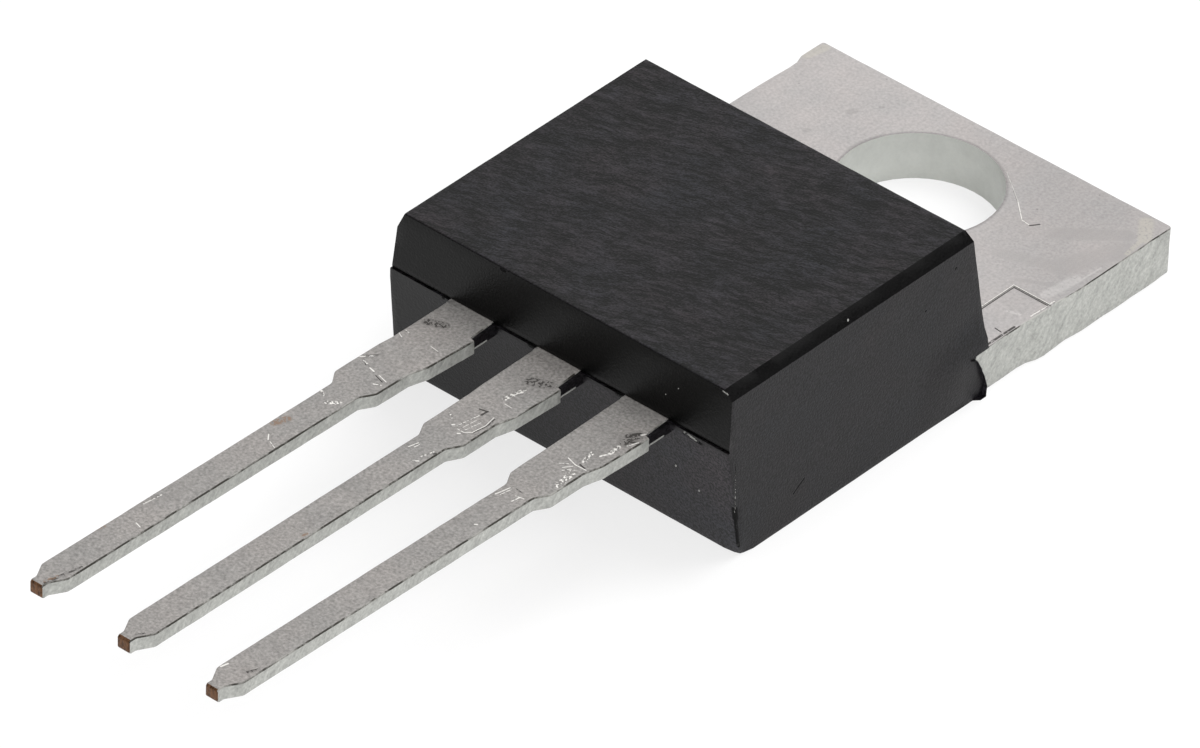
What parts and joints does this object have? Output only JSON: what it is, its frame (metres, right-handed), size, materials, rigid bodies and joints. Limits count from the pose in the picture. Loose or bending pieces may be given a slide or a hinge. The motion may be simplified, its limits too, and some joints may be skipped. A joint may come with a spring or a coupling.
{
  "type": "schottky diode",
  "caption": "Common-cathode Schottky rectifier diode in a flat-tab power package: moulded black case, drilled metal mounting tab and a row of tinned through-hole leads.",
  "frame": {"origin": "on the axis of the tab's mounting hole, in the plane of the tab's back", "axes": "+Z from the tab's back towards the moulded face, along the hole; +Y along the part's length, towards the free end of the tab, with the leads towards -Y; +X across the lead row"},
  "size_m": [0.0102, 0.0285, 0.0045],
  "materials": {
    "mould_compound": "black epoxy moulding compound, fine satin ripple on the face, matte on the sides",
    "tinned_copper": "satin tin plating over copper, with handling scratches",
    "chip_solder": "dull soft solder",
    "silicon": "metallised silicon",
    "bond_wire": "bright drawn wire"
  },
  "bodies": {
    "root": {"moulded_case": "mould_compound", "tab_frame": "tinned_copper", "left_anode_lead": "tinned_copper", "right_anode_lead": "tinned_copper", "left_chip_solder": "chip_solder", "right_chip_solder": "chip_solder", "left_diode_chip": "silicon", "right_diode_chip": "silicon", "left_outer_bond_wire": "bond_wire", "left_inner_bond_wire": "bond_wire", "right_inner_bond_wire": "bond_wire", "right_outer_bond_wire": "bond_wire"}
  },
  "joints": []
}
